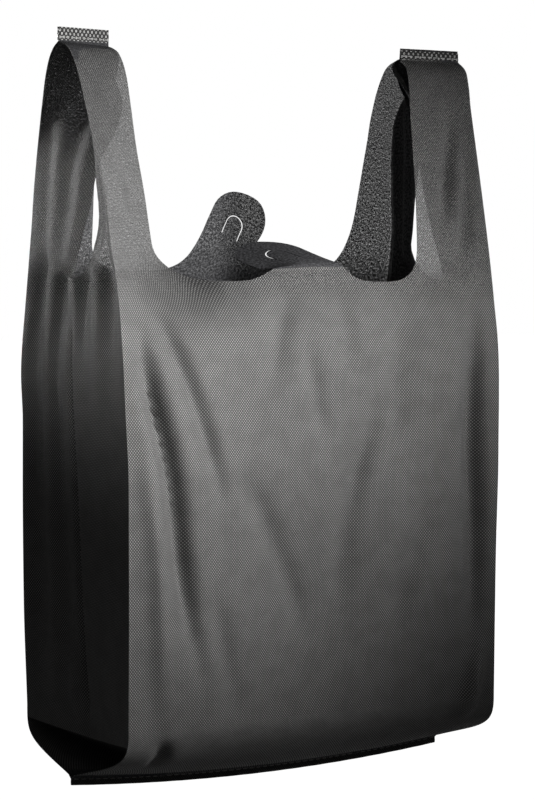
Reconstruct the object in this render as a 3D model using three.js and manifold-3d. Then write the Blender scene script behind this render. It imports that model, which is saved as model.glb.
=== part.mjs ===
// Vest carrier bag of thin black spunbond cloth: one gusseted tube, die-cut and welded, hanging open.
// Units are millimetres. +X runs along the front panel, +Y points to the back and +Z is up.
// The origin is the hanging point, midway between the undersides of the two handles.
// Heights below are counted from the lower edge of the base weld.

import * as THREE from 'three';
import { ConvexGeometry } from 'three/addons/geometries/ConvexGeometry.js';
import { mergeVertices } from 'three/addons/utils/BufferGeometryUtils.js';
import Module from 'manifold-3d';

// Cloth and body
const FABRIC = 0.4; // thickness of one layer
const PANEL_WIDTH = 322; // front and back panels, from crease to crease
const GUSSET_WIDTH = 160; // side gussets, opened out
const GUSSET_TUCK = 17; // how far a gusset's middle fold lies inside its creases, at the base
const BAG_HEIGHT = 538; // lower edge of the base weld to the upper edge of the handle welds
const BASE_RISE = 27; // base creases above the base weld

// Welds, where the layers are pressed into one flat bar
const BASE_WELD_HEIGHT = 6;
const HANDLE_WELD_HEIGHT = 8;
const WELD_THICKNESS = 1;

// Handles, each an arch of a front strip and a back strip
const HANDLE_HEIGHT = 178; // bottom of the scoops to the upper edge of the handle welds
const HANDLE_WIDTH = 51; // strip width at the weld
const HANDLE_FLARE = 26; // extra strip width at the handle's foot
const FLARE_HEIGHT = 62; // height over which a strip widens
const SHOULDER_DROP = 34; // where the strips start to turn in, below the weld
const SHOULDER_DEPTH = 42; // how far in front of or behind the weld the strips are there

// Notch in each gusset, under the arch of its handle
const NOTCH_WIDTH = 26;
const NOTCH_LENGTH = 85;
const NOTCH_RISE = 4; // foot of the notch above the scoops

// Hang tabs in the middle of the scoops, each with an arched slit
const TAB_WIDTH = 46;
const TAB_HEIGHT = 70;
const TAB_FILLET = 30; // how far a tab's foot spreads along the scoop
const SLIT_WIDTH = 16;
const SLIT_DROP = 19; // top of the slit below the top of the tab
const SLIT_LEG = 10;
const SLIT_GAP = 0.8;

// Finish
const CLOTH_COLOUR = 0x2c2b2a;
const CLOTH_ROUGHNESS = 0.8;

// How finely curves are stepped, and how far a cutter runs past what it cuts
const CURVE_STEPS = 12;
const CUTTER_REACH = 2;
const MERGE_TOLERANCE = 1e-4;

// Heights and places that follow from the driving dimensions
const HALF_PANEL = PANEL_WIDTH / 2;
const HALF_GUSSET = GUSSET_WIDTH / 2;
const BASE_CREASE = BASE_WELD_HEIGHT + BASE_RISE;
const MOUTH_HEIGHT = BAG_HEIGHT - HANDLE_HEIGHT; // bottom of the scoops
const WELD_FOOT = BAG_HEIGHT - HANDLE_WELD_HEIGHT;
const HANG_HEIGHT = WELD_FOOT - FABRIC;
const SHOULDER_HEIGHT = WELD_FOOT - SHOULDER_DROP;
const NOTCH_FOOT = MOUTH_HEIGHT + NOTCH_RISE;
const TAB_TOP = MOUTH_HEIGHT + TAB_HEIGHT;

// A cubic curve whose two inner handles are level with its ends reaches three quarters of their distance.
const CURVE_REACH = 0.75;

const wasm = await Module();
wasm.setup();

// Turns a closed geometry into a solid that can be cut and joined.
function solid(geometry) {
  geometry.deleteAttribute('normal');
  geometry.deleteAttribute('uv');
  const merged = mergeVertices(geometry, MERGE_TOLERANCE);
  const vertProperties = new Float32Array(merged.getAttribute('position').array);
  const triVerts = new Uint32Array(merged.getIndex().array);
  return new wasm.Manifold(new wasm.Mesh({ numProp: 3, vertProperties, triVerts }));
}

// Turns a finished solid back into a geometry with flat faces.
function geometryOf(body) {
  const mesh = body.getMesh();
  const geometry = new THREE.BufferGeometry();
  geometry.setAttribute('position', new THREE.BufferAttribute(new Float32Array(mesh.vertProperties), 3));
  geometry.setIndex(new THREE.BufferAttribute(new Uint32Array(mesh.triVerts), 1));
  geometry.computeVertexNormals();
  return geometry;
}

const X_AXIS = new THREE.Vector3(1, 0, 0);
const Y_AXIS = new THREE.Vector3(0, 1, 0);
const Z_AXIS = new THREE.Vector3(0, 0, 1);

// An outline drawn in Y and Z is pushed along X, and one drawn in X and Z is pushed along Y.
const ALONG_X = new THREE.Matrix4().makeBasis(Y_AXIS, Z_AXIS, X_AXIS);
const ALONG_Y = new THREE.Matrix4().makeBasis(X_AXIS, Z_AXIS, Y_AXIS.clone().negate());

// Pushes an outline the same distance to both sides of the middle.
function pushBothWays(outline, direction, reach) {
  const options = { depth: 2 * reach, bevelEnabled: false, curveSegments: CURVE_STEPS };
  const geometry = new THREE.ExtrudeGeometry(outline, options);
  geometry.translate(0, 0, -reach);
  geometry.applyMatrix4(direction);
  return solid(geometry);
}

// The left-hand normal of one side of an outline, which points inwards on an anticlockwise outline.
function inwardNormal(from, to) {
  const side = to.clone().sub(from).normalize();
  return new THREE.Vector2(-side.y, side.x);
}

// Moves every side of an anticlockwise outline inwards by the same distance.
function insetOutline(points, distance) {
  const moved = points.map((corner, index) => {
    const before = points[(index + points.length - 1) % points.length];
    const after = points[(index + 1) % points.length];
    const first = inwardNormal(before, corner);
    const second = inwardNormal(corner, after);
    const share = distance / (1 + first.dot(second));
    return corner.clone().addScaledVector(first, share).addScaledVector(second, share);
  });
  return moved;
}

// The bag seen from its side, in Y and Z: a shallow V base, upright walls and the arch of the handles.
function sideOutline() {
  const lean = (HALF_GUSSET - SHOULDER_DEPTH) / (SHOULDER_HEIGHT - MOUTH_HEIGHT);
  const turn = SHOULDER_DEPTH - lean * SHOULDER_DROP;
  const outline = new THREE.Shape();
  outline.moveTo(0, BASE_WELD_HEIGHT);
  outline.lineTo(HALF_GUSSET, BASE_CREASE);
  outline.lineTo(HALF_GUSSET, MOUTH_HEIGHT);
  outline.lineTo(SHOULDER_DEPTH, SHOULDER_HEIGHT);
  outline.quadraticCurveTo(turn, WELD_FOOT, 0, WELD_FOOT);
  outline.quadraticCurveTo(-turn, WELD_FOOT, -SHOULDER_DEPTH, SHOULDER_HEIGHT);
  outline.lineTo(-HALF_GUSSET, MOUTH_HEIGHT);
  outline.lineTo(-HALF_GUSSET, BASE_CREASE);
  return outline.getPoints(CURVE_STEPS);
}

// The die's outline in X and Z: both scoops at once, leaving the hang tab standing in the middle.
function scoopOutline() {
  const edge = HALF_PANEL - HANDLE_WIDTH;
  const foot = edge - HANDLE_FLARE;
  const tabSide = TAB_WIDTH / 2;
  const tabFoot = tabSide + TAB_FILLET;
  const top = BAG_HEIGHT + CUTTER_REACH;
  const outline = new THREE.Shape();
  outline.moveTo(-edge, top);
  outline.lineTo(-edge, MOUTH_HEIGHT + FLARE_HEIGHT);
  outline.quadraticCurveTo(-edge, MOUTH_HEIGHT, -foot, MOUTH_HEIGHT);
  outline.lineTo(-tabFoot, MOUTH_HEIGHT);
  outline.quadraticCurveTo(-tabSide, MOUTH_HEIGHT, -tabSide, MOUTH_HEIGHT + TAB_FILLET);
  outline.absarc(0, TAB_TOP - tabSide, tabSide, Math.PI, 0, true);
  outline.lineTo(tabSide, MOUTH_HEIGHT + TAB_FILLET);
  outline.quadraticCurveTo(tabSide, MOUTH_HEIGHT, tabFoot, MOUTH_HEIGHT);
  outline.lineTo(foot, MOUTH_HEIGHT);
  outline.quadraticCurveTo(edge, MOUTH_HEIGHT, edge, MOUTH_HEIGHT + FLARE_HEIGHT);
  outline.lineTo(edge, top);
  return outline;
}

// The arched slit of a hang tab, in X and Z: its flap stays joined to the tab at the foot.
function slitOutline() {
  const outer = SLIT_WIDTH / 2;
  const inner = outer - SLIT_GAP;
  const centre = TAB_TOP - SLIT_DROP - outer;
  const foot = centre - SLIT_LEG;
  const outline = new THREE.Shape();
  outline.moveTo(-outer, foot);
  outline.absarc(0, centre, outer, Math.PI, 0, true);
  outline.lineTo(outer, foot);
  outline.lineTo(inner, foot);
  outline.absarc(0, centre, inner, 0, Math.PI, false);
  outline.lineTo(-inner, foot);
  return outline;
}

// The gusset notch, in Y and Z: a lens that is round at both ends.
function notchOutline() {
  const pull = NOTCH_WIDTH / 2 / CURVE_REACH;
  const top = NOTCH_FOOT + NOTCH_LENGTH;
  const outline = new THREE.Shape();
  outline.moveTo(0, NOTCH_FOOT);
  outline.bezierCurveTo(pull, NOTCH_FOOT, pull, top, 0, top);
  outline.bezierCurveTo(-pull, top, -pull, NOTCH_FOOT, 0, NOTCH_FOOT);
  return outline;
}

// A solid with flat faces around its corners. Corners on the bag's end also run past it, to cut cleanly.
function endCutter(side, onTheEnd, inside) {
  const outward = side * CUTTER_REACH;
  const past = onTheEnd.map((corner) => corner.clone().add(new THREE.Vector3(outward, 0, 0)));
  return solid(new ConvexGeometry([...onTheEnd, ...past, ...inside]));
}

// The hollow outside a folded-in gusset: a dent that deepens down to the base creases.
function gussetDent(side) {
  const end = side * HALF_PANEL;
  const frontCrease = new THREE.Vector3(end, -HALF_GUSSET, BASE_CREASE);
  const backCrease = new THREE.Vector3(end, HALF_GUSSET, BASE_CREASE);
  const foldTop = new THREE.Vector3(end, 0, MOUTH_HEIGHT);
  const foldFoot = new THREE.Vector3(side * (HALF_PANEL - GUSSET_TUCK), 0, BASE_CREASE);
  return endCutter(side, [frontCrease, backCrease, foldTop], [foldFoot]);
}

// The open pocket under a gusset's foot, between the two ends of the base that meet at the weld.
function earPocket(side) {
  const end = side * HALF_PANEL;
  const frontCrease = new THREE.Vector3(end, -HALF_GUSSET, BASE_CREASE);
  const backCrease = new THREE.Vector3(end, HALF_GUSSET, BASE_CREASE);
  const weldEnd = new THREE.Vector3(end, 0, BASE_WELD_HEIGHT);
  const foldFoot = new THREE.Vector3(side * (HALF_PANEL - GUSSET_TUCK), 0, BASE_CREASE);
  const foldEnd = new THREE.Vector3(side * (HALF_PANEL - HALF_GUSSET), 0, BASE_WELD_HEIGHT);
  return endCutter(side, [frontCrease, backCrease, weldEnd], [foldFoot, foldEnd]);
}

// A weld bar that stands in the plane between the front and the back.
function weldBar(centre, width, foot, top) {
  const bar = new THREE.BoxGeometry(width, WELD_THICKNESS, top - foot);
  bar.translate(centre, 0, (foot + top) / 2);
  return solid(bar);
}

// The tube of cloth: an outer skin and the hollow one layer inside it, both dented at the gussets.
function clothTube() {
  const outerOutline = sideOutline();
  const innerOutline = new THREE.Shape(insetOutline(outerOutline, FABRIC));
  const insideWalls = pushBothWays(innerOutline, ALONG_X, HALF_PANEL + CUTTER_REACH);
  let skin = pushBothWays(new THREE.Shape(outerOutline), ALONG_X, HALF_PANEL);
  let hollow = pushBothWays(innerOutline, ALONG_X, HALF_PANEL - FABRIC);
  for (const side of [-1, 1]) {
    const oneLayerIn = [-side * FABRIC, 0, FABRIC];
    const dent = gussetDent(side);
    const pocket = earPocket(side);
    skin = skin.subtract(dent).subtract(pocket.intersect(insideWalls));
    hollow = hollow.subtract(dent.translate(oneLayerIn)).subtract(pocket.translate(oneLayerIn));
  }
  return skin.subtract(hollow);
}

// The whole bag: the tube, cut by the die and the notch, with its three welds.
function carrierBag() {
  const throughPanels = HALF_GUSSET + CUTTER_REACH;
  const throughGussets = HALF_PANEL + CUTTER_REACH;
  const handleCentre = HALF_PANEL - HANDLE_WIDTH / 2;
  let bag = clothTube();
  bag = bag.subtract(pushBothWays(scoopOutline(), ALONG_Y, throughPanels));
  bag = bag.subtract(pushBothWays(slitOutline(), ALONG_Y, throughPanels));
  bag = bag.subtract(pushBothWays(notchOutline(), ALONG_X, throughGussets));
  bag = bag.add(weldBar(0, PANEL_WIDTH, 0, BASE_WELD_HEIGHT + FABRIC));
  for (const side of [-1, 1]) {
    bag = bag.add(weldBar(side * handleCentre, HANDLE_WIDTH, WELD_FOOT - FABRIC / 2, BAG_HEIGHT));
  }
  return bag;
}

const cloth = new THREE.MeshStandardMaterial({
  color: CLOTH_COLOUR,
  roughness: CLOTH_ROUGHNESS,
  metalness: 0,
});

const bagMesh = new THREE.Mesh(geometryOf(carrierBag()), cloth);
bagMesh.name = 'carrier_bag';
bagMesh.position.z = -HANG_HEIGHT;

const group = new THREE.Group();
group.add(bagMesh);

export default group;
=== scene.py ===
# %% [markdown]
# This lesson rebuilds a vest carrier bag of thin black spunbond cloth, hanging open by its two handles.
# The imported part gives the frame: the origin is the hanging point, +X runs along the front panel,
# +Y points to the back and +Z is up. Sizes below are millimetres, and heights are counted from the
# lower edge of the base weld, as on a drawing of the bag.

# %% Load the frame
import math

import bmesh
import bpy
import numpy as np
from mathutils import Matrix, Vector
from mathutils.geometry import delaunay_2d_cdt


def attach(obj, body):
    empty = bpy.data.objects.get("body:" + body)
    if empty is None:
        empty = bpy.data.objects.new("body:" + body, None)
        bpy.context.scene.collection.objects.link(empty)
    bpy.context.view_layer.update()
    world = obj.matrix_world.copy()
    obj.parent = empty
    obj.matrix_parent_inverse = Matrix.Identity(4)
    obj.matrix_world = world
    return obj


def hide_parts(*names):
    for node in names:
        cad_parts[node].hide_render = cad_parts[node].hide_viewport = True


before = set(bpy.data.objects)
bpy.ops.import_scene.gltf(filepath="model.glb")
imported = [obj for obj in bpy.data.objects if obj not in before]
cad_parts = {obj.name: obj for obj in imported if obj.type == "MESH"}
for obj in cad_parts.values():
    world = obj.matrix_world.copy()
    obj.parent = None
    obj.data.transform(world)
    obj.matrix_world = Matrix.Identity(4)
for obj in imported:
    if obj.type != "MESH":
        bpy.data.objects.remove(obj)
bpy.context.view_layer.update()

# %% [markdown]
# The bag is cut from one tube of cloth. Around the tube come the front panel, the right gusset, the
# back panel and the left gusset. Along it, from the base weld upwards, come the base flap, the wall,
# the handle strips and the handle welds. Every place on the cloth gets two flat coordinates: one
# around the tube and one along it.

# %% Sizes of the cut cloth
MM = 0.001
HANG_HEIGHT = 529.6  # the hanging point above the lower edge of the base weld
CLOTH = 0.4  # thickness of one layer
PANEL = 322
HALF = PANEL / 2
GUSSET = 160
FOLD = GUSSET / 2
BASE_WELD = 6
ROUND_END = 104.4  # where the rounded base crease has become wall
LID = 88  # where a gusset folds under, along the cloth
WALL_SHIFT = 57.4  # along the cloth, minus the height, on the wall
MOUTH = 417.4  # bottom of the scoops
WELD_FOOT = 614
CUT_LENGTH = 622
STRIP_TOP = 51  # strip width at the weld
STRIP_FOOT = 66  # strip width just above the scoop
SCOOP_TURN = 24  # size of the rounded corner between strip and scoop
TAB_WIDTH = 46
TAB_HEIGHT = 66
TAB_FILLET = 34
SLIT_WIDTH = 16
SLIT_DROP = 19
SLIT_LEG = 10
SLIT_GAP = 0.8
STEP = 4.0  # spacing of the mesh


# %% [markdown]
# The creases of the open bag are read from the photograph as a few key heights each. A smooth curve
# through them keeps the real bag's small leans, its left handle twisted a little to the back and its
# right handle leaning to the front.

# %% Curves through key points
def through(keys):
    """A smooth function of the first column, through the other columns."""
    rows = np.array(keys, float)
    at = rows[:, 0]
    values = rows[:, 1:]
    slopes = np.diff(values, axis=0) / np.diff(at)[:, None]
    ends = np.zeros_like(values)
    ends[1:-1] = (slopes[:-1] + slopes[1:]) / 2
    ends[0] = slopes[0]
    ends[-1] = slopes[-1]
    flat = slopes[:-1] * slopes[1:] <= 0
    ends[1:-1][flat] = 0

    def value(x):
        x = np.clip(np.asarray(x, float), at[0], at[-1])
        i = np.clip(np.searchsorted(at, x, side="right") - 1, 0, len(at) - 2)
        width = at[i + 1] - at[i]
        t = ((x - at[i]) / width)[..., None]
        width = width[..., None]
        low = (1 + 2 * t) * (1 - t) ** 2 * values[i] + t * (1 - t) ** 2 * width * ends[i]
        high = t * t * (3 - 2 * t) * values[i + 1] + t * t * (t - 1) * width * ends[i + 1]
        out = low + high
        return out[..., 0] if out.shape[-1] == 1 else out

    return value


def fade(x, start, end):
    """Goes smoothly from 0 at start to 1 at end."""
    t = np.clip((np.asarray(x, float) - start) / (end - start), 0, 1)
    return t * t * (3 - 2 * t)


# %% Creases of the open bag
FRONT_LEFT = [
    (47, -158.5, -82), (140, -158.5, -83), (215, -158.5, -83), (274, -159.5, -80), (310, -160.5, -78.5),
    (351, -161, -72.8), (377, -161.5, -66.6), (400, -162, -61), (430, -163, -53), (459, -164, -42),
    (489, -165.5, -31.5), (508, -166.5, -24), (520, -167.3, -16.5), (527, -167.8, -8), (530, -168, 2),
]
FRONT_RIGHT = [
    (47, 160, -78), (157, 161, -78.6), (233, 161.5, -80.6), (309, 161.5, -80), (346, 161, -75),
    (377, 161, -69.7), (415, 161, -62), (461, 161, -52), (492, 161, -45), (512, 161.5, -41),
    (523, 162, -36), (530, 163, -25),
]
BACK_LEFT = [
    (47, -160, 72), (124, -161, 75), (198, -161, 76), (258, -161, 75.5), (291, -161.5, 77), (346, -161.3, 69),
    (376, -161.5, 63), (398, -162, 58), (430, -163, 51), (463, -164, 42), (491, -165.5, 32),
    (508, -166.5, 25), (521, -167.3, 16.5), (527, -167.8, 9), (530, -168, 2),
]
BACK_RIGHT = [
    (47, 160, 75), (120, 161, 77), (260, 161, 77), (346, 161, 70), (394, 161, 62), (430, 158, 58),
    (467, 154, 52), (490, 152, 44), (505, 153.5, 32), (518, 157, 10), (526, 160.5, -10), (530, 163, -25),
]
CREASE_FOOT = 47  # lowest key height
MOUTH_LEVEL = MOUTH - WALL_SHIFT
TOP_LEVEL = 530  # highest key height


def crease(keys):
    """The path of a crease as a function of the place along the cloth. Its handle part keeps equal steps."""
    path = through(keys)
    wall_heights = np.linspace(CREASE_FOOT, MOUTH_LEVEL, 160)[:-1]
    handle_heights = np.linspace(MOUTH_LEVEL, TOP_LEVEL, 400)
    heights = np.concatenate([wall_heights, handle_heights])
    points = np.column_stack([path(heights), heights])
    handle = heights >= MOUTH_LEVEL
    steps = np.linalg.norm(np.diff(points[handle], axis=0), axis=1)
    run = np.concatenate([[0], np.cumsum(steps)])
    along = heights + WALL_SHIFT
    along[handle] = MOUTH + (WELD_FOOT - MOUTH) * run / run[-1]

    def place(v):
        v = np.asarray(v, float)
        clipped = np.clip(v, along[0], along[-1])
        out = np.column_stack([np.interp(clipped, along, points[:, k]) for k in range(3)])
        out[:, 2] += np.maximum(v - WELD_FOOT, 0)
        return out

    return place, run[-1]


creases = {}
for name, keys in (("FL", FRONT_LEFT), ("FR", FRONT_RIGHT), ("BL", BACK_LEFT), ("BR", BACK_RIGHT)):
    creases[name], length = crease(keys)
    print("crease", name, "handle path", round(length, 1), "flat", round(WELD_FOOT - MOUTH, 1))

# %% [markdown]
# Above the scoops each crease carries two strips, one of the panel and one of the gusset. How far a
# strip turns from the panel's direction changes with height: flat together at the weld, then opening.
# Angles are in degrees, from the inward X direction towards the back.

# %% Directions of the strips
TURN = {
    "FL_panel": through([
        (0, 0), (280, 0), (325, 9), (360, 28), (384, 36),
        (416, 34.5), (452, 31.5), (487, 26.5), (530, 18.3),
    ]),
    "FR_panel": through([(0, 0), (300, 0), (384, 0), (457, 2), (494, 2), (530, 5)]),
    "BL_panel": through([(0, 0), (300, 0), (350, 8), (386, 18), (440, 18), (530, 18.3)]),
    "BR_panel": through([
        (0, 0), (300, 0), (350, -12), (394, -25.5), (430, -32.5),
        (480, -38), (505, -32), (518, -18), (530, 5),
    ]),
    "FL_gusset": through([
        (360, 88), (380, 75), (400, 67.5), (440, 63),
        (475, 52), (500, 38), (518, 25), (530, 18.3),
    ]),
    "BL_gusset": through([
        (360, -88), (386, -85), (414, -78), (445, -70), (462, -57),
        (480, -38), (500, -13), (517, 8), (530, 18.3),
    ]),
    "FR_gusset": through([
        (360, 96), (385, 91), (414, 85), (448, 80),
        (480, 76), (500, 66), (515, 40), (530, 5),
    ]),
    "BR_gusset": through([
        (360, -88), (380, -70), (405, -72), (430, -75), (467, -80),
        (490, -74), (505, -58), (518, -30), (530, 5),
    ]),
}
GUSSET_MIDDLE = {
    -1: through([(30, -145, 0), (102, -151.6, 0), (203, -157, 0), (304, -162, 0), (362, -161.5, -2)]),
    1: through([(30, 145, 0), (102, 152, 0), (203, 159, 0), (304, 166, -1), (362, 168, -3)]),
}
WELD_SHARE = 0.998  # width of the base weld, as a share of the panel
SAG_ENDS = 1.5  # how far the ends of the base weld hang down
SAG_MIDDLE = 7.5  # how much further its middle hangs down


def base_sag(x):
    """The base weld hangs lower in its middle than at its ends."""
    return -SAG_ENDS - SAG_MIDDLE * (1 - (np.asarray(x) / HALF) ** 2)


def direction(side, angle):
    """Unit steps inwards from the crease on that side of the bag."""
    a = np.radians(angle)
    return np.column_stack([-side * np.cos(a), np.sin(a), np.zeros_like(a)])


print("strip directions", list(TURN))

# %% [markdown]
# A panel hangs between its two creases. Below, it rounds over into the base flap and runs down to the
# weld. In the middle of each scoop stands a hang tab: the front one flops back into the mouth, the back
# one leans over to the right.

# %% Panels
FRONT_HINGE = 8  # how far the front tab's root stands up before it bends
FRONT_BEND = 6  # radius of that bend
FRONT_FLOP = math.radians(73)
FRONT_RISE = 0.16  # slope of the front leaf towards its right edge
FRONT_DROOP = 0.4  # slope of the front leaf towards its left edge
FRONT_WAY = (-0.52, 0.85)  # which way the front leaf flops, in X and Y
BACK_LIFT = 9  # how much higher the back scoop hangs
BACK_STRETCH = 9  # how much more it is drawn up to the right of its tab
BACK_LEAN = 0.55  # how far the back tab leans over, in radians
BACK_SHIFT = (7.0, 0, -2.0)  # how far its root has moved
BACK_SLANT = 0.55  # slope of the soft fold across it


def panel_wall(face, x, v):
    """The front (face -1) or back (face 1) panel above the rounded base crease."""
    letter = "F" if face < 0 else "B"
    left = creases[letter + "L"](v)
    right = creases[letter + "R"](v)
    s_left = (x + HALF)[:, None]
    s_right = (HALF - x)[:, None]
    chord = left + (right - left) * s_left / PANEL
    from_left = left + s_left * direction(-1, TURN[letter + "L_panel"](left[:, 2]))
    from_right = right + s_right * direction(1, TURN[letter + "R_panel"](right[:, 2]))
    hold = 62 + 20 * fade(v, MOUTH - 40, MOUTH + 20)[:, None]
    near_left = np.exp(-((s_left / hold) ** 2))
    near_right = np.exp(-((s_right / hold) ** 2))
    body = chord + (from_left - chord) * near_left + (from_right - chord) * near_right
    strip = np.where((x < 0)[:, None], from_left, from_right)
    on_strip = 1 - fade(np.minimum(s_left, s_right), STRIP_FOOT, STRIP_FOOT + 30)
    upper = fade(v, MOUTH - 30, MOUTH + 30)[:, None] * on_strip
    return body + (strip - body) * upper


def hang_tab(face, x, v):
    """The tab in the middle of a scoop: the front one flops back into the mouth, the back one leans over."""
    root = panel_wall(face, x, np.full_like(v, MOUTH))
    rise = v - MOUTH
    if face < 0:
        lift = np.minimum(rise, FRONT_HINGE)
        bend = np.clip((rise - FRONT_HINGE) / FRONT_BEND, 0, FRONT_FLOP)
        run = np.maximum(rise - FRONT_HINGE - FRONT_BEND * FRONT_FLOP, 0)
        back = FRONT_BEND * (1 - np.cos(bend)) + run * math.sin(FRONT_FLOP)
        up = lift + FRONT_BEND * np.sin(bend) + run * math.cos(FRONT_FLOP)
        right_part = FRONT_RISE * x * fade(rise, FRONT_HINGE, 60)
        left_part = FRONT_DROOP * x * fade(rise, 4, 30)
        up += np.where(x > 0, right_part, left_part)
        return root + np.column_stack([FRONT_WAY[0] * back, FRONT_WAY[1] * back, up])
    turn = BACK_LEAN * fade(rise, 0, 40)
    steps = np.linspace(0, 1, 16)
    leans = [BACK_LEAN * fade(rise * k, 0, 40) for k in steps]
    middle_x = np.mean([np.sin(lean) for lean in leans], axis=0) * rise
    middle_z = np.mean([np.cos(lean) for lean in leans], axis=0) * rise
    root_middle = panel_wall(face, np.zeros_like(x), np.full_like(v, MOUTH)) + np.array(BACK_SHIFT)
    keep = fade(rise, 0, 26)
    leaned_x = middle_x + x * np.cos(turn)
    leaned_z = middle_z - x * np.sin(turn)
    out = root_middle + np.column_stack([leaned_x, np.zeros_like(x), leaned_z])
    plain = root + np.column_stack([np.zeros_like(x), np.zeros_like(x), rise])
    out = plain + (out - plain) * keep[:, None]
    fold = fade(x + BACK_SLANT * (rise - 44), 2, 22)
    out[:, 1] += 4 * fade(rise, 10, 60) - 9 * fold * fade(rise, 20, 60)
    return out + flap_push(x, rise)


def flap_push(x, rise):
    """The flap inside the arched slit stands a little proud of its tab."""
    centre = TAB_HEIGHT - SLIT_DROP - SLIT_WIDTH / 2
    reach = SLIT_WIDTH / 2 - SLIT_GAP / 2
    head = np.hypot(x, np.maximum(rise - centre, 0)) < reach
    on_flap = head & (rise > centre - SLIT_LEG)
    push = np.where(on_flap, np.clip((rise - centre + SLIT_LEG) / (SLIT_LEG + reach), 0, 1), 0)
    return np.column_stack([-2.2 * push, -3.5 * push, 0 * push])


def bezier(t, a, b, c, d):
    t = t[:, None]
    return (1 - t) ** 3 * a + 3 * t * (1 - t) ** 2 * b + 3 * t * t * (1 - t) * c + t ** 3 * d


def panel(face, x, v):
    """The whole panel: base weld, base flap, wall and handle strips."""
    x = np.asarray(x, float)
    v = np.asarray(v, float)
    wall = panel_wall(face, x, np.maximum(v, ROUND_END))
    on_tab = (v > MOUTH) & (np.abs(x) < HALF - STRIP_FOOT - 26)
    if on_tab.any():
        wall[on_tab] = hang_tab(face, x[on_tab], v[on_tab])
    if face > 0:
        wall[:, 2] += BACK_LIFT * fade(v, 300, MOUTH) * (1 - fade(np.abs(x), 70, 110))
        beside_tab = fade(x, -12, 14) * (1 - fade(x, 55, 95)) * (1 - fade(v, MOUTH + 4, MOUTH + 26))
        wall[:, 2] += BACK_STRETCH * beside_tab * fade(v, 330, MOUTH)
    weld = np.column_stack([x * WELD_SHARE, np.full_like(x, 0.5 * face), BASE_WELD + base_sag(x)])
    corner = fade(np.abs(x), 84, 150)  # the base turns more sharply towards its corners
    weld_reach = weld + np.column_stack([0 * x, face * (52 + 17 * corner), 9 + 8 * corner])
    wall_reach = wall + np.column_stack([0 * x, face * (1 - 0.5 * corner), -21 - 2 * corner])
    t = np.clip((v - BASE_WELD) / (ROUND_END - BASE_WELD), 0, 1)
    out = np.where((v < ROUND_END)[:, None], bezier(t, weld, weld_reach, wall_reach, wall), wall)
    out[:, 2] -= np.maximum(BASE_WELD - v, 0)
    out[:, 1] += folds(face, x, v)
    return out


# %% [markdown]
# Handling leaves soft folds. Each is a short line on the flat panel with a width and a depth, in
# millimetres. A positive depth is a valley seen from outside.

# %% Soft folds of the panels
FRONT_FOLDS = [
    ((-152, 405), (-104, 150), 8, 7.0), ((-128, 400), (-84, 265), 7, 3.4), ((-62, 280), (-14, 170), 10, 2.4),
    ((40, 300), (14, 180), 10, 2.2), ((-6, 372), (6, 305), 7, 1.3), ((54, 335), (26, 262), 8, 1.7),
    ((104, 255), (62, 160), 10, 2.6), ((139, 395), (143, 140), 9, 6.5), ((156, 150), (126, 80), 8, -6.0),
    ((-24, 412), (-38, 345), 8, 1.6), ((20, 412), (30, 350), 8, 1.4), ((142, 565), (122, 470), 6, 4.6),
    ((155, 548), (138, 440), 6, 4.2), ((-131, 92), (-128, 40), 6, 5.0), ((-150, 300), (-128, 110), 8, -2.5),
    ((75, 400), (70, 300), 10, 1.2), ((-90, 200), (-76, 110), 9, 2.0), ((-128, 520), (-112, 440), 9, 1.5),
]
BACK_FOLDS = [
    ((150, 400), (96, 170), 11, 5.0), ((-148, 400), (-110, 210), 10, 4.0), ((60, 300), (20, 170), 12, 2.4),
    ((-50, 320), (-16, 190), 12, 2.4), ((-10, 400), (4, 310), 8, 1.6), ((110, 260), (84, 140), 10, 2.2),
    ((-142, 160), (-120, 84), 9, -3.5), ((90, 410), (70, 320), 9, 1.6), ((-80, 240), (-64, 130), 10, 2.0),
]
FOLD_DEPTH = 1.35  # every fold is this many times as deep as listed


def folds(face, x, v):
    """How far the panel is pushed in Y by its soft folds and a gentle waviness."""
    total = np.zeros_like(x)
    for start, end, width, depth in FRONT_FOLDS if face < 0 else BACK_FOLDS:
        start = np.array(start, float)
        line = np.array(end, float) - start
        offset = np.column_stack([x, v]) - start
        along = offset @ line / (line @ line)
        across = (offset[:, 0] * line[1] - offset[:, 1] * line[0]) / np.linalg.norm(line)
        ends = fade(along, -0.12, 0.3) * (1 - fade(along, 0.7, 1.12))
        wander = 2.2 * np.sin(v / 31 + start[0])
        total += FOLD_DEPTH * depth * ends * np.exp(-((across + wander) / width) ** 2)
    wave = 1.1 * np.sin(x / 34 + v / 61 + face) + 0.8 * np.sin(x / 19 - v / 43)
    wave += 0.5 * np.sin(v / 23 + x / 47)
    inner = fade(HALF - np.abs(x), 2, 26) * fade(v, BASE_WELD, 60) * (1 - fade(v, MOUTH + 70, WELD_FOOT - 12))
    hollow = 5.0 * np.cos(np.pi * np.clip(x / PANEL, -0.5, 0.5)) ** 2 * fade(v, 70, 200)
    hollow *= 1 - fade(v, MOUTH, MOUTH + 30)
    return -face * (total * np.maximum(inner, 0.0) + wave * inner + hollow * inner)


print("folds", len(FRONT_FOLDS), "on the front panel", len(BACK_FOLDS), "on the back panel")
print("middle of the front panel", panel(-1, [0.0], [MOUTH / 2])[0].round(1).tolist())

# %% [markdown]
# A gusset is folded along its middle. Where it has more cloth than the room between its creases it
# ripples, so its rows are drawn by turning a direction to and fro along the cloth, which keeps their
# length. At the base each half folds along a diagonal and lies against its base flap, down to the weld.

# %% Gussets
RIPPLES = 2  # ripples in half a gusset
FOLD_GROOVE = 3.4  # how far the pressed middle fold of a gusset still bites in
FOLD_CREST = 2.4  # height of the soft crest behind it
STRIP_BAND = 25  # width of one soft band along a gusset strip
BAND_DEPTH = 1.9  # how far those bands stand in and out


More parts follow.
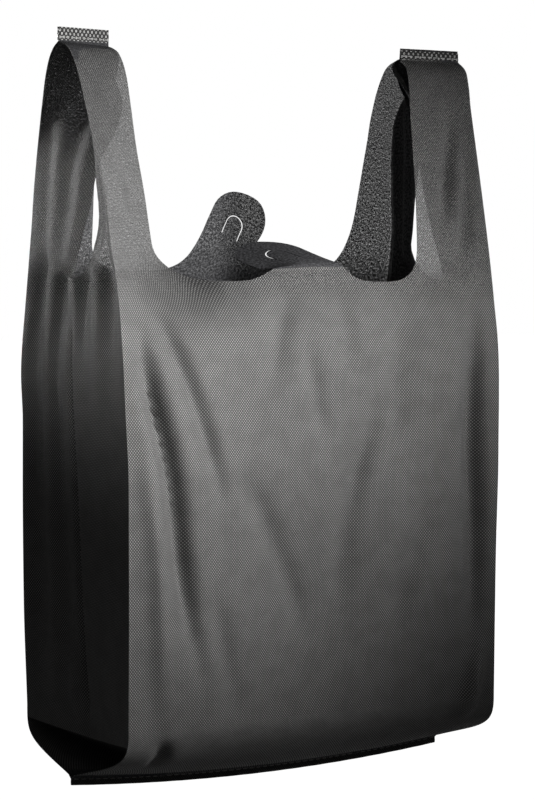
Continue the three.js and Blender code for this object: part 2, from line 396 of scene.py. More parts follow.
def gusset_half(side, start, end, s):
    """A rippled row from the crease to the middle fold, of the cloth's own length."""
    span = end - start
    gap = np.linalg.norm(span[:, :2], axis=1)
    swing = 2 * np.sqrt(np.clip(1 - gap / FOLD, 0, 0.5))
    heading = np.arctan2(span[:, 1], span[:, 0])
    count = 24
    out = start.copy()
    run = s / count
    for k in range(count):
        here = (k + 0.5) * run
        angle = heading + side * np.sign(span[:, 1]) * swing * np.sin(2 * np.pi * RIPPLES * here / FOLD)
        out[:, 0] += run * np.cos(angle)
        out[:, 1] += run * np.sin(angle)
    reach = np.minimum(gap / FOLD, 1) / np.maximum(1 - swing ** 2 / 4, 0.3)
    out[:, 2] = start[:, 2] + span[:, 2] * s / FOLD
    stretch = np.where(gap > FOLD, gap / FOLD, reach)[:, None]
    out[:, :2] = start[:, :2] + (out[:, :2] - start[:, :2]) * stretch
    return out


def gusset(side, s, v):
    """A gusset, from the front crease (s 0) to the back crease (s GUSSET)."""
    s = np.asarray(s, float)
    v = np.asarray(v, float)
    letter = "L" if side < 0 else "R"
    out = np.zeros((len(s), 3))
    for face, half in ((-1, s <= FOLD), (1, s > FOLD)):
        if not half.any():
            continue
        name = ("F" if face < 0 else "B") + letter
        inset = np.where(face < 0, s, GUSSET - s)[half]
        vh = v[half]
        wall_v = np.maximum(vh, LID)
        start = panel(face, np.full_like(vh, side * HALF), wall_v)
        middle_at = np.minimum(wall_v, MOUTH + 2)
        middle = np.column_stack([GUSSET_MIDDLE[side](middle_at - WALL_SHIFT), middle_at - WALL_SHIFT])
        straight = start + (middle - start) * (inset / FOLD)[:, None]
        rows = gusset_half(side, start, middle, inset)
        rows = straight + (rows - straight) * fade(start[:, 2], 34, 150)[:, None]
        from_fold = FOLD - inset
        crease_depth = FOLD_GROOVE * np.exp(-(from_fold / 3.2) ** 2)
        if face > 0:
            crease_depth -= FOLD_CREST * np.exp(-((from_fold - 16) / 6) ** 2)
        bite = side * crease_depth * fade(vh, LID + 6, LID + 40)
        rows[:, 0] -= bite * (1 - fade(vh, MOUTH - 40, MOUTH - 8))
        strip = start + inset[:, None] * direction(side, TURN[name + "_gusset"](start[:, 2]))
        band = np.sin(2 * np.pi * (inset / STRIP_BAND + start[:, 2] / 190)) * fade(inset, 0, 14)
        strip[:, 0] += side * BAND_DEPTH * band * (1 - fade(vh, WELD_FOOT - 70, WELD_FOOT - 16))
        upper = fade(vh, MOUTH + 2, MOUTH + 30)[:, None]
        wall = rows + (strip - rows) * upper
        down = np.clip((vh - BASE_WELD) / (LID - BASE_WELD), 0, 1)
        diagonal = FOLD * (1 - down)
        on_flap = panel(face, side * (HALF - np.minimum(inset, diagonal)), vh)
        on_flap += np.array([0, -0.35 * face, 0.55]) * fade(vh, 2, 20)[:, None]
        on_flap[:, 1] -= 0.3 * face
        foot_x = side * (HALF - FOLD)
        foot_height = BASE_WELD + base_sag(HALF - FOLD) + 1
        foot = np.column_stack([np.full_like(vh, foot_x), np.zeros_like(vh), np.full_like(vh, foot_height)])
        lid_end = foot + (middle - foot) * down[:, None]
        share = np.clip((inset - diagonal) / np.maximum(FOLD - diagonal, 1e-6), 0, 1)[:, None]
        lid = on_flap + (lid_end - on_flap) * share
        out[half] = np.where((vh < LID)[:, None], lid, wall)
    return out


for end in (-1, 1):
    print("middle of a gusset", gusset(end, [FOLD], [MOUTH / 2])[0].round(1).tolist())

# %% [markdown]
# The die cuts all four layers at once: two scoops with a hang tab standing in the middle, and the same
# curve bites a notch out of each gusset. Outlines are drawn flat and filled with an even mesh.

# %% Flat outlines
def spaced(points, step=STEP):
    """Points at even steps along a polyline, without its last point."""
    points = np.array(points, float)
    lengths = np.concatenate([[0], np.cumsum(np.linalg.norm(np.diff(points, axis=0), axis=1))])
    count = max(1, int(round(lengths[-1] / step)))
    at = np.linspace(0, lengths[-1], count + 1)[:-1]
    return np.column_stack([np.interp(at, lengths, points[:, k]) for k in range(2)])


def quadratic(a, b, c, count=24):
    t = np.linspace(0, 1, count)[:, None]
    return (1 - t) ** 2 * np.array(a) + 2 * t * (1 - t) * np.array(b) + t * t * np.array(c)


def scoop_corner(limit=None):
    """The rounded corner between strip and scoop, as (distance from crease, along the cloth)."""
    edge = quadratic((STRIP_FOOT, MOUTH + SCOOP_TURN), (STRIP_FOOT + 2, MOUTH), (STRIP_FOOT + 26, MOUTH))
    if limit is not None:
        at = np.interp(limit, edge[:, 0], np.arange(len(edge)))
        last = [np.interp(at, np.arange(len(edge)), edge[:, k]) for k in range(2)]
        edge = np.vstack([edge[edge[:, 0] < limit - 0.4], last])
    return edge


CREASE_STEPS = np.linspace(0, CUT_LENGTH, 157)


def crease_side(at, upwards):
    rows = CREASE_STEPS if upwards else CREASE_STEPS[::-1]
    return np.column_stack([np.full(len(rows), at), rows])[:-1]


def panel_outline():
    """Anticlockwise outline of a panel, starting at its lower left corner."""
    corner = scoop_corner()
    strip = [(STRIP_TOP, CUT_LENGTH), (STRIP_FOOT, MOUTH + SCOOP_TURN)]
    tab = TAB_WIDTH / 2
    foot = tab + TAB_FILLET
    left = [(-HALF + d, v) for d, v in strip] + [(-HALF + d, v) for d, v in corner]
    angles = np.linspace(np.pi, 0, 30)
    head = [(tab * math.cos(a), MOUTH + TAB_HEIGHT - tab + tab * math.sin(a)) for a in angles]
    rise = [tuple(p) for p in quadratic((-foot, MOUTH), (-tab, MOUTH), (-tab, MOUTH + TAB_FILLET))]
    over = left + rise + head + [(-x, v) for x, v in rise[::-1]] + [(-x, v) for x, v in left[::-1]]
    top_left = [(-HALF, CUT_LENGTH), (-HALF + STRIP_TOP, CUT_LENGTH)]
    top_right = [(HALF - STRIP_TOP, CUT_LENGTH), (HALF, CUT_LENGTH)]
    parts = [
        spaced([(-HALF, 0), (HALF, 0)]), crease_side(HALF, True), spaced(top_right[::-1]),
        spaced(over[::-1]), spaced(top_left[::-1]), crease_side(-HALF, False),
    ]
    return np.vstack(parts)


def gusset_outline():
    """Anticlockwise outline of a gusset, starting at its lower front corner."""
    corner = scoop_corner(FOLD)
    front = [(STRIP_TOP, CUT_LENGTH), (STRIP_FOOT, MOUTH + SCOOP_TURN)] + [tuple(p) for p in corner]
    back = [(GUSSET - d, v) for d, v in front]
    parts = [
        spaced([(0, 0), (FOLD, 0)]), spaced([(FOLD, 0), (GUSSET, 0)]), crease_side(GUSSET, True),
        spaced([(GUSSET, CUT_LENGTH), (GUSSET - STRIP_TOP, CUT_LENGTH)]), spaced(back), spaced(front[::-1]),
        spaced([(STRIP_TOP, CUT_LENGTH), (0, CUT_LENGTH)]), crease_side(0, False),
    ]
    return np.vstack(parts)


def inside(outline, points):
    """Which points lie inside the outline, by counting crossings."""
    hit = np.zeros(len(points), bool)
    for a, b in zip(outline, np.roll(outline, -1, axis=0)):
        spans = (a[1] > points[:, 1]) != (b[1] > points[:, 1])
        if spans.any():
            at = a[0] + (points[:, 1] - a[1]) / (b[1] - a[1] + 1e-12) * (b[0] - a[0])
            hit ^= spans & (points[:, 0] < at)
    return hit


def clear_of(points, others, gap):
    """Which points keep the gap from every other point."""
    keep = np.ones(len(points), bool)
    for start in range(0, len(points), 500):
        block = points[start:start + 500]
        near = np.linalg.norm(block[:, None] - others[None], axis=2).min(axis=1)
        keep[start:start + 500] = near > gap
    return keep


def slit_outline():
    """The arched slit of a hang tab, as a thin closed band that is cut away."""
    centre = MOUTH + TAB_HEIGHT - SLIT_DROP - SLIT_WIDTH / 2
    foot = centre - SLIT_LEG
    band = []
    outer = SLIT_WIDTH / 2
    inner = outer - SLIT_GAP
    for radius, angles in ((outer, np.linspace(np.pi, 0, 14)), (inner, np.linspace(0, np.pi, 14))):
        arc = [(radius * math.cos(a), centre + radius * math.sin(a)) for a in angles]
        side = arc[0][0]
        leg = [(side, foot + k * SLIT_LEG / 5) for k in range(5)]
        end = [(-side, foot + (4 - k) * SLIT_LEG / 5) for k in range(5)]
        band += leg + arc + end
    return np.array(band)


def fill(outline, lines=(), hole=None):
    """An even triangle mesh inside an outline, with edges along the given lines."""
    rows = np.arange(outline[:, 1].min(), outline[:, 1].max(), STEP * 0.87)
    grid = []
    for k, row in enumerate(rows):
        cells = np.arange(outline[:, 0].min() + (k % 2) * STEP / 2, outline[:, 0].max(), STEP)
        grid.append(np.column_stack([cells, np.full(len(cells), row)]))
    grid = np.vstack(grid)
    extra = [spaced(line) for line in lines]
    if hole is not None:
        extra.append(np.vstack([hole, hole[:1] + 1e-6]))
    fixed = np.vstack([outline] + extra) if extra else outline
    grid = grid[inside(outline, grid)]
    grid = grid[clear_of(grid, fixed, STEP * 0.62)]
    points = np.vstack([fixed, grid])
    count = len(outline)
    edges = [(k, (k + 1) % count) for k in range(count)]
    at = count
    for line in extra:
        edges += [(at + k, at + k + 1) for k in range(len(line) - 1)]
        at += len(line)
    flat = [Vector(p) for p in points]
    verts, _, faces, _, _, _ = delaunay_2d_cdt(flat, edges, [], 0, 1e-4)
    verts = np.array([tuple(p) for p in verts])
    faces = np.array(faces)
    middles = verts[faces].mean(axis=1)
    kept = inside(outline, middles)
    if hole is not None:
        kept &= ~inside(hole, middles)
    return verts, faces[kept]


panel_flat = fill(panel_outline(), hole=slit_outline())
fold_line = [(FOLD, BASE_WELD), (FOLD, MOUTH)]
front_diagonal = [(FOLD - 2, BASE_WELD + 2), (2, LID - 2)]
back_diagonal = [(GUSSET - s, v) for s, v in front_diagonal]
lid_line = [(3, LID), (GUSSET - 3, LID)]
gusset_flat = fill(gusset_outline(), [fold_line, front_diagonal, back_diagonal, lid_line])
print("panel mesh", len(panel_flat[0]), "points", len(panel_flat[1]), "triangles")
print("gusset mesh", len(gusset_flat[0]), "points", len(gusset_flat[1]), "triangles")

# %% [markdown]
# The four flat meshes are placed in the open bag and joined along their creases. Each keeps its flat
# coordinates as a UV map, in metres, so that the bond pattern runs along the cloth as it was made.

# %% Place and join the cloth
PIECES = (
    (panel_flat, lambda p: panel(-1, p[:, 0], p[:, 1]), lambda p: p[:, 0], False),
    (gusset_flat, lambda p: gusset(1, p[:, 0], p[:, 1]), lambda p: HALF + p[:, 0], False),
    (panel_flat, lambda p: panel(1, p[:, 0], p[:, 1]), lambda p: PANEL + GUSSET - p[:, 0], True),
    (gusset_flat, lambda p: gusset(-1, p[:, 0], p[:, 1]), lambda p: -HALF - p[:, 0], True),
)
places = []
flats = []
triangles = []
base = 0
for (verts, faces), place, around, mirrored in PIECES:
    places.append(place(verts))
    flats.append(np.column_stack([around(verts), verts[:, 1]]))
    triangles.append((faces[:, ::-1] if mirrored else faces) + base)
    base += len(verts)
places = np.vstack(places)
flats = np.vstack(flats)
triangles = np.vstack(triangles)
print("cloth mesh", len(places), "points", len(triangles), "triangles")

points = places.copy()
points[:, 2] -= HANG_HEIGHT
mesh = bpy.data.meshes.new("bag_cloth")
mesh.from_pydata((points * MM).tolist(), [], triangles.tolist())
uv = mesh.uv_layers.new(name="flat")
loop_points = np.zeros(len(mesh.loops), int)
mesh.loops.foreach_get("vertex_index", loop_points)
uv.data.foreach_set("uv", (flats[loop_points] * MM).astype(np.float32).ravel())

# %% [markdown]
# Light shows between the fibres where one layer hangs alone, on the handle strips. On the walls two
# layers lie behind one another and hide it, so the pores are closed there. The strips of the right
# gusset and the back tab let less through. The front tab flops back into the mouth; it is given the
# darker plain inside finish on both sides and no pores, as painted shade for the shade it lies in.

# %% How open the cloth is
TAB_REACH = 62  # half the width that counts as tab
RIGHT_GUSSET_SHARE = 0.15
BACK_TAB_SHARE = 0.72
openness = mesh.attributes.new("openness", "FLOAT", "POINT")
front_count = len(panel_flat[0])
on_front_tab = np.zeros(len(points), bool)
front_flats = flats[:front_count]
on_front_tab[:front_count] = (front_flats[:, 1] > MOUTH + 8) & (np.abs(front_flats[:, 0]) < TAB_REACH)
single = fade(flats[:, 1], MOUTH - 26, MOUTH + 26)
right_gusset = (flats[:, 0] > HALF + 1) & (flats[:, 0] < HALF + GUSSET - 1)
single = np.where(right_gusset, RIGHT_GUSSET_SHARE * single, single)
on_back_tab = (flats[:, 1] > MOUTH + 2) & (np.abs(flats[:, 0] - PANEL - GUSSET) < TAB_REACH)
single = np.where(on_back_tab, BACK_TAB_SHARE * single, single)
# Painted shade: the front tab's faces take the darker inside finish, and its pores are closed below.
painted_shade_faces = on_front_tab[triangles].all(axis=1).astype(np.int32)
mesh.polygons.foreach_set("material_index", painted_shade_faces)
openness.data.foreach_set("value", np.where(on_front_tab, 0.0, single).astype(np.float32))
print("points of the front tab", int(on_front_tab.sum()), "of the back tab", int(on_back_tab.sum()))

# %% Join the creases
bag = bpy.data.objects.new("bag_cloth", mesh)
bpy.context.scene.collection.objects.link(bag)

join = bmesh.new()
join.from_mesh(mesh)
rim = [v for v in join.verts if v.is_boundary]
bmesh.ops.remove_doubles(join, verts=rim, dist=0.05 * MM)
join.to_mesh(mesh)
join.free()
mesh.shade_smooth()
print("joined points", len(mesh.vertices))

# %% [markdown]
# Spunbond cloth is pressed between a smooth roller and one with small diamond studs. The outside
# therefore shows rows of shiny bond dots on a dull fibre ground, and the inside only a fibre mottle.
# The cloth is thin enough for a little light to pass straight between the fibres. The dots are drawn
# from the flat UV map, so they follow every fold.

# %% Node helpers
def material(name):
    made = bpy.data.materials.new(name)
    made.use_nodes = True
    made.node_tree.nodes.clear()
    return made, made.node_tree.nodes, made.node_tree.links


def maths(nodes, links, operation, first, second=None):
    """One arithmetic node. Plain numbers go straight on its sockets."""
    node = nodes.new("ShaderNodeMath")
    node.operation = operation
    for socket, value in zip(node.inputs, (first, second)):
        if value is None:
            continue
        if isinstance(value, (int, float)):
            socket.default_value = value
        else:
            links.new(value, socket)
    return node.outputs[0]


def spread(nodes, links, value, from_low, from_high, to_low, to_high):
    node = nodes.new("ShaderNodeMapRange")
    node.interpolation_type = "SMOOTHSTEP"
    limits = {"From Min": from_low, "From Max": from_high, "To Min": to_low, "To Max": to_high}
    for name, number in limits.items():
        node.inputs[name].default_value = number
    links.new(value, node.inputs["Value"])
    return node.outputs["Result"]


def blend_colours(nodes, links, share, low, high):
    node = nodes.new("ShaderNodeMix")
    node.data_type = "RGBA"
    node.inputs["A"].default_value = (*low, 1)
    node.inputs["B"].default_value = (*high, 1)
    links.new(share, node.inputs["Factor"])
    return node.outputs["Result"]


def fibre_noise(nodes, links, coordinates, scale, detail):
    node = nodes.new("ShaderNodeTexNoise")
    node.inputs["Scale"].default_value = scale
    node.inputs["Detail"].default_value = detail
    links.new(coordinates, node.inputs["Vector"])
    return node.outputs["Fac"]


# %% Cloth materials
DOT_ACROSS = 0.00205  # spacing of the bond dots around the tube, in metres
DOT_ALONG = 0.0024  # and along it
MOTTLE_SCALE = 620
PATCH_SCALE = 60
PORE_SCALE = 1900
BUMP_STRENGTH = 0.35
BUMP_DEPTH = 0.0002
ROUGH_GROUND = 0.82
ROUGH_DOT = 0.52
ROUGH_FIBRE = 0.75
SHINE_DOTTED = 0.32
SHINE_PLAIN = 0.2
GROUND = (0.030, 0.0295, 0.029)
DOT = (0.17, 0.168, 0.165)
INSIDE_GROUND = (0.014, 0.014, 0.015)
INSIDE_FIBRE = (0.07, 0.07, 0.074)
BASE_WELD_GROUND = (0.016, 0.016, 0.0155)
BASE_WELD_DOT = (0.06, 0.06, 0.058)
WELD_GROUND = (0.018, 0.018, 0.0175)
WELD_DOT = (0.26, 0.257, 0.25)
WELD_DOT_SIZE = 2.0
MELTED = (0.13, 0.128, 0.124, 1)
PORE_START = 1.15  # noise at which a pore begins, before the see-through value is taken off
PORE_END = 1.43  # noise at which it is fully open
PORE_CLEAR = 0.8  # how clear a fully open pore is
SEE_THROUGH = 0.485
CLOSED = -0.5  # a see-through value that leaves no pores
GLOW_SHARE = 0.18  # share of the surface that scatters light through the cloth


def cloth_material(name, dotted, ground, dot, see_through, dot_size=1.0):
    made, nodes, links = material(name)
    uv_map = nodes.new("ShaderNodeUVMap")
    uv_map.uv_map = "flat"
    split = nodes.new("ShaderNodeSeparateXYZ")
    links.new(uv_map.outputs["UV"], split.inputs["Vector"])
    across = maths(nodes, links, "MULTIPLY", split.outputs["X"], 2 * math.pi / (DOT_ACROSS * dot_size))
    along = maths(nodes, links, "MULTIPLY", split.outputs["Y"], 2 * math.pi / (DOT_ALONG * dot_size))
    rows = maths(nodes, links, "COSINE", across)
    columns = maths(nodes, links, "COSINE", along)
    lattice = maths(nodes, links, "MULTIPLY", rows, columns)
    dots = spread(nodes, links, lattice, 0.05, 0.6, 0.0, 1.0)
    mottle = fibre_noise(nodes, links, uv_map.outputs["UV"], MOTTLE_SCALE, 3)
    patches = fibre_noise(nodes, links, uv_map.outputs["UV"], PATCH_SCALE, 2)
    fibres = spread(nodes, links, mottle, 0.34, 0.7, 0.0, 1.0)
    share = dots if dotted else fibres
    uneven = spread(nodes, links, patches, 0.3, 0.7, 0.78, 1.12)
    colour = blend_colours(nodes, links, maths(nodes, links, "MULTIPLY", share, uneven), ground, dot)
    surface = nodes.new("ShaderNodeBsdfPrincipled")
    links.new(colour, surface.inputs["Base Color"])
    rough_high = ROUGH_DOT if dotted else ROUGH_FIBRE
    links.new(spread(nodes, links, share, 0, 1, ROUGH_GROUND, rough_high), surface.inputs["Roughness"])
    surface.inputs["Specular IOR Level"].default_value = SHINE_DOTTED if dotted else SHINE_PLAIN
    bump = nodes.new("ShaderNodeBump")
    bump.inputs["Strength"].default_value = BUMP_STRENGTH
    bump.inputs["Distance"].default_value = BUMP_DEPTH
    links.new(share, bump.inputs["Height"])
    links.new(bump.outputs["Normal"], surface.inputs["Normal"])
    glowing = nodes.new("ShaderNodeBsdfTranslucent")
    links.new(colour, glowing.inputs["Color"])
    thin = nodes.new("ShaderNodeMixShader")
    thin.inputs[0].default_value = GLOW_SHARE
    links.new(surface.outputs[0], thin.inputs[1])
    links.new(glowing.outputs[0], thin.inputs[2])
    gaps = nodes.new("ShaderNodeBsdfTransparent")
    mix = nodes.new("ShaderNodeMixShader")
    open_weave = nodes.new("ShaderNodeAttribute")
    open_weave.attribute_name = "openness"
    fine = fibre_noise(nodes, links, uv_map.outputs["UV"], PORE_SCALE, 1)
    pores = maths(nodes, links, "ADD", fine, maths(nodes, links, "MULTIPLY", mottle, 0.5))
    holes = spread(nodes, links, pores, PORE_START - see_through, PORE_END - see_through, 0.0, PORE_CLEAR)
    links.new(maths(nodes, links, "MULTIPLY", open_weave.outputs["Fac"], holes), mix.inputs[0])
    links.new(thin.outputs[0], mix.inputs[1])
    links.new(gaps.outputs[0], mix.inputs[2])
    output = nodes.new("ShaderNodeOutputMaterial")
    links.new(mix.outputs[0], output.inputs["Surface"])
    return made


outside = cloth_material("cloth_outside", True, GROUND, DOT, SEE_THROUGH)
within = cloth_material("cloth_inside", False, INSIDE_GROUND, INSIDE_FIBRE, SEE_THROUGH)
pressed_base = cloth_material("cloth_pressed_base", True, BASE_WELD_GROUND, BASE_WELD_DOT, CLOSED)
pressed = cloth_material("cloth_pressed", True, WELD_GROUND, WELD_DOT, CLOSED, WELD_DOT_SIZE)
shiny, shiny_nodes, shiny_links = material("cloth_melted")
melted = shiny_nodes.new("ShaderNodeBsdfPrincipled")
melted.inputs["Base Color"].default_value = MELTED
melted.inputs["Roughness"].default_value = 0.35
shiny_links.new(melted.outputs[0], shiny_nodes.new("ShaderNodeOutputMaterial").inputs["Surface"])
print("materials", [made.name for made in (outside, within, pressed_base, pressed, shiny)])

# %% [markdown]
# The sheet gets the thickness of one layer, inwards, with the plain finish on its inner side.

# %% Give the sheet its thickness
mesh.materials.append(outside)
mesh.materials.append(within)
layer = bag.modifiers.new("layer", "SOLIDIFY")
layer.thickness = CLOTH * MM
layer.offset = -1
layer.material_offset = 1
layer.material_offset_rim = 0
layer.use_even_offset = False
layered = bag.evaluated_get(bpy.context.evaluated_depsgraph_get())
solid = bpy.data.meshes.new_from_object(layered)
bag.modifiers.clear()
bag.data = solid
solid.name = "bag_cloth"
solid.set_sharp_from_angle(angle=math.radians(38))
print("sheet triangles", sum(len(p.vertices) - 2 for p in solid.polygons))


# %% [markdown]
# At the base and at the top of each handle a hot bar presses all four layers into one flat, knurled
# strip. Its teeth leave rows of short melted dashes, which are set along the weld by Geometry Nodes.

# %% Weld bars
def ribbon(name, line, drop, thickness, finish):
    """A flat bar whose upper edge follows a line, with its flat coordinates as a UV map."""
    line = np.array(line, float)
    tangent = np.gradient(line, axis=0)
    across = np.column_stack([-tangent[:, 1], tangent[:, 0], np.zeros(len(line))])
    across /= np.linalg.norm(across, axis=1)[:, None]
    levels = np.linspace(0, -drop, 5)
    run = np.concatenate([[0], np.cumsum(np.linalg.norm(np.diff(line, axis=0), axis=1))])
    verts, flat, quads = [], [], []
    for sign in (-1, 1):
        for level in levels:
            ripple = 0.18 * np.sin(run / 3.1 + level)
            row = line + across * (sign * thickness / 2 + ripple)[:, None]
            row[:, 2] += level
            verts.append(row)
            flat.append(np.column_stack([run + 3 * sign, np.full(len(run), level)]))
    verts = np.vstack(verts)
    flat = np.vstack(flat)
    n, m = len(line), len(levels)
    at = lambda sign, level, k: (sign * m + level) * n + k
    for k in range(n - 1):
        for level in range(m - 1):
            front = (at(0, level, k), at(0, level + 1, k), at(0, level + 1, k + 1), at(0, level, k + 1))
            back = (at(1, level, k), at(1, level, k + 1), at(1, level + 1, k + 1), at(1, level + 1, k))
            quads += [front, back]
        quads.append((at(0, 0, k), at(0, 0, k + 1), at(1, 0, k + 1), at(1, 0, k)))
        quads.append((at(0, m - 1, k + 1), at(0, m - 1, k), at(1, m - 1, k), at(1, m - 1, k + 1)))
    end = n - 1
    for level in range(m - 1):
        quads.append((at(0, level + 1, 0), at(0, level, 0), at(1, level, 0), at(1, level + 1, 0)))
        quads.append((at(0, level, end), at(0, level + 1, end), at(1, level + 1, end), at(1, level, end)))
    verts[:, 2] -= HANG_HEIGHT
    made = bpy.data.meshes.new(name)
    made.from_pydata((verts * MM).tolist(), [], quads)
    corners = np.zeros(len(made.loops), int)
    made.loops.foreach_get("vertex_index", corners)
    made.uv_layers.new(name="flat").data.foreach_set("uv", (flat[corners] * MM).astype(np.float32).ravel())
    made.materials.append(finish)
    piece = bpy.data.objects.new(name, made)
    bpy.context.scene.collection.objects.link(piece)
    return piece


def dash_tree():
    """Sets short melted dashes along a line of points."""
    tree = bpy.data.node_groups.new("weld_dashes", "GeometryNodeTree")
    interface = tree.interface
    interface.new_socket("Geometry", in_out="INPUT", socket_type="NodeSocketGeometry")
    interface.new_socket("Count", in_out="INPUT", socket_type="NodeSocketInt")
    interface.new_socket("Dash Size", in_out="INPUT", socket_type="NodeSocketVector")
    interface.new_socket("Geometry", in_out="OUTPUT", socket_type="NodeSocketGeometry")
    nodes, links = tree.nodes, tree.links
    source = nodes.new("NodeGroupInput")
    curve = nodes.new("GeometryNodeMeshToCurve")
    even = nodes.new("GeometryNodeResampleCurve")
    tangent = nodes.new("GeometryNodeInputTangent")
    align = nodes.new("FunctionNodeAlignRotationToVector")
    align.axis = "X"
    box = nodes.new("GeometryNodeMeshCube")
    place = nodes.new("GeometryNodeInstanceOnPoints")
    real = nodes.new("GeometryNodeRealizeInstances")
    finish = nodes.new("GeometryNodeSetMaterial")
    finish.inputs["Material"].default_value = shiny
    target = nodes.new("NodeGroupOutput")
    links.new(source.outputs["Geometry"], curve.inputs["Mesh"])
    links.new(curve.outputs["Curve"], even.inputs["Curve"])
    links.new(source.outputs["Count"], even.inputs["Count"])
    links.new(source.outputs["Dash Size"], box.inputs["Size"])
    links.new(tangent.outputs[0], align.inputs["Vector"])
    links.new(even.outputs["Curve"], place.inputs["Points"])
    links.new(box.outputs["Mesh"], place.inputs["Instance"])
    links.new(align.outputs["Rotation"], place.inputs["Rotation"])
    links.new(place.outputs["Instances"], real.inputs["Geometry"])
    links.new(real.outputs["Geometry"], finish.inputs["Geometry"])
    links.new(finish.outputs["Geometry"], target.inputs["Geometry"])
    return tree


DASHES = dash_tree()


def dash_row(name, line, count, size):
    line = np.array(line, float).copy()
    line[:, 2] -= HANG_HEIGHT
    made = bpy.data.meshes.new(name)
    made.from_pydata((line * MM).tolist(), [(k, k + 1) for k in range(len(line) - 1)], [])
    piece = bpy.data.objects.new(name, made)
    bpy.context.scene.collection.objects.link(piece)
    nodes = piece.modifiers.new("dashes", "NODES")
    nodes.node_group = DASHES
    wanted = {"Count": count, "Dash Size": [s * MM for s in size]}
    for socket in DASHES.interface.items_tree:
        if socket.in_out == "INPUT" and socket.name in wanted:
            nodes[socket.identifier] = wanted[socket.name]
    dashed = piece.evaluated_get(bpy.context.evaluated_depsgraph_get())
    finished = bpy.data.meshes.new_from_object(dashed)
    piece.modifiers.clear()
    piece.data = finished
    return piece


# %% Place the welds
# Each row: name, letter of its creases, side, rows of dashes, lift, and tilt towards the inner end.
HANDLE_WELDS = (
    ("weld_left", "L", -1, 1, 1.6, 1.6),
    ("weld_right", "R", 1, 2, -2.4, 0.4),
)
BAR_THICKNESS = 1.7
BAR_DROP = 9.4
ROW_DROP = 7.2  # lowest row of dashes, below the top of the bar
ROW_STEP = 3.0
HANDLE_DASH = (3.6, 2.1, 0.9)
BASE_DASH = (3.4, 2.2, 0.8)
steps = np.linspace(0, 1, 40)[:, None]
welds = []
for name, letter, side, rows, lift, tilt in HANDLE_WELDS:
    outer = creases["F" + letter](np.array([WELD_FOOT]))[0]
    inward = direction(side, TURN["F" + letter + "_panel"](np.array([TOP_LEVEL])))[0]
    top = outer + inward * STRIP_TOP * steps + np.array([0, 0, CUT_LENGTH - WELD_FOOT + 0.6])
    top[:, 2] += lift + tilt * steps[:, 0]
    welds.append(ribbon(name, top, BAR_DROP, BAR_THICKNESS, pressed))
    for row in range(rows):
        line = top[2:-2] + np.array([0, 0, -ROW_DROP + ROW_STEP * row])
        welds.append(dash_row(f"{name}_dashes_{row}", line, 9, HANDLE_DASH))
xs = np.linspace(-HALF * WELD_SHARE, HALF * WELD_SHARE, 90)
base_line = np.column_stack([xs, np.zeros_like(xs), BASE_WELD + base_sag(xs) + 0.4])
welds.append(ribbon("weld_base", base_line, BASE_WELD + 0.8, BAR_THICKNESS, pressed_base))
base_dashes = base_line[1:-1] + np.array([0, 0, -2.2])
welds.append(dash_row("weld_base_dashes", base_dashes, 54, BASE_DASH))
print("welds", [w.name for w in welds])

# %% [markdown]
# Every piece belongs to the one body of the part and has its cloth. The welds go with the sheet.

# %% Tell the frame what each piece is
for piece in [bag] + welds:
    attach(piece, "root")
    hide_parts("carrier_bag")
print("declared", 1 + len(welds), "pieces")

# %% [markdown]
# A plain studio: the bag hangs clear of a pale floor. The main light stands at the front right, about as
# high as the handles, a weak one stands at the back left, and one stands behind so that the back can be
# seen. The surroundings are white only to the eye.

# %% Floor and light
FLOOR = -0.95
FLOOR_REACH = 40
FLOOR_GLOW = 1.0
floor_mesh = bpy.data.meshes.new("floor")
CORNER_SIGNS = ((-1, -1), (1, -1), (1, 1), (-1, 1))
floor_corners = [(x * FLOOR_REACH, y * FLOOR_REACH, FLOOR) for x, y in CORNER_SIGNS]
floor_mesh.from_pydata(floor_corners, [], [(0, 1, 2, 3)])
floor = bpy.data.objects.new("floor", floor_mesh)
bpy.context.scene.collection.objects.link(floor)
pale, pale_nodes, pale_links = material("floor_pale")
matt = pale_nodes.new("ShaderNodeBsdfDiffuse")
matt.inputs["Color"].default_value = (0.5, 0.5, 0.5, 1)
glow = pale_nodes.new("ShaderNodeEmission")
seen = pale_nodes.new("ShaderNodeLightPath")
floor_glow = maths(pale_nodes, pale_links, "MULTIPLY", seen.outputs["Is Camera Ray"], FLOOR_GLOW)
pale_links.new(floor_glow, glow.inputs["Strength"])
both = pale_nodes.new("ShaderNodeAddShader")
pale_links.new(matt.outputs[0], both.inputs[0])
pale_links.new(glow.outputs[0], both.inputs[1])
pale_links.new(both.outputs[0], pale_nodes.new("ShaderNodeOutputMaterial").inputs["Surface"])
floor_mesh.materials.append(pale)

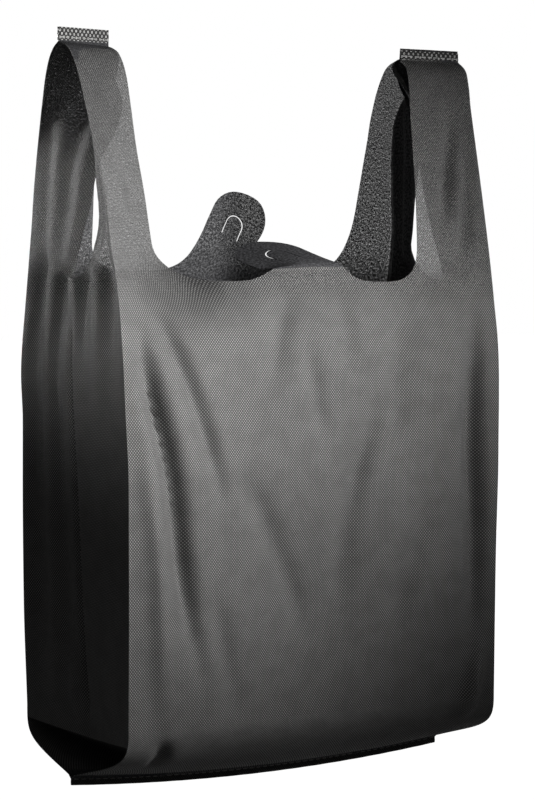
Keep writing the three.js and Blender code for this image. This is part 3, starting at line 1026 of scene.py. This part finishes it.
AMBIENT = 0.1  # brightness of the surroundings, as light on the bag
world = bpy.data.worlds.new("studio")
bpy.context.scene.world = world
world.use_nodes = True
sky = world.node_tree.nodes["Background"]
sky.inputs["Color"].default_value = (1, 1, 1, 1)
world_nodes = world.node_tree.nodes
world_links = world.node_tree.links
path = world_nodes.new("ShaderNodeLightPath")
eye_ray = path.outputs["Is Camera Ray"]
passing_ray = path.outputs["Is Transmission Ray"]
clear = maths(world_nodes, world_links, "MAXIMUM", eye_ray, passing_ray)
strength = maths(world_nodes, world_links, "MULTIPLY", clear, 1 - AMBIENT)
world_links.new(maths(world_nodes, world_links, "ADD", strength, AMBIENT), sky.inputs["Strength"])


def area_light(name, place, target, size, power):
    data = bpy.data.lights.new(name, "AREA")
    data.shape = "RECTANGLE"
    data.size, data.size_y = size
    data.energy = power
    lamp = bpy.data.objects.new(name, data)
    bpy.context.scene.collection.objects.link(lamp)
    lamp.location = place
    lamp.rotation_euler = (Vector(target) - Vector(place)).to_track_quat("-Z", "Y").to_euler()
    return lamp


key = area_light("key", (0.72, -1.02, -0.03), (-0.2, -0.08, -0.18), (0.2, 0.2), 2.75)
key.data.spread = math.radians(36)
side = area_light("side", (-1.0, 0.75, 0.02), (-0.18, 0.0, -0.055), (0.16, 0.16), 0.5)
side.data.spread = math.radians(22)
back = area_light("back", (0.38, 1.4, 0.05), (0, 0.05, -0.22), (0.5, 0.5), 9)
print("lights", [(lamp.name, lamp.data.energy) for lamp in (key, side, back)])

# %% [markdown]
# The camera stands at the front left, about two thirds of the way up the bag, and looks slightly down. Its
# place and focal length were fitted to the edges of the bag in the photograph.

# %% Camera
FOCAL_PIXELS = 2433
DIP_PIXELS = 100  # how far below the horizon the middle of the picture lies
PICTURE_HEIGHT = 800
SENSOR = 36
HEADING = -32
EYE = (-0.961, -1.547, -0.1831)
lens = bpy.data.cameras.new("camera")
lens.sensor_width = SENSOR
lens.lens = FOCAL_PIXELS * SENSOR / PICTURE_HEIGHT
camera = bpy.data.objects.new("camera", lens)
camera.location = EYE
dip = math.atan(DIP_PIXELS / FOCAL_PIXELS)
camera.rotation_euler = (math.radians(90) - dip, 0, math.radians(HEADING))
bpy.context.scene.collection.objects.link(camera)
bpy.context.scene.camera = camera
bpy.context.scene.view_settings.view_transform = "Standard"
print("lens", round(lens.lens, 2), "mm")
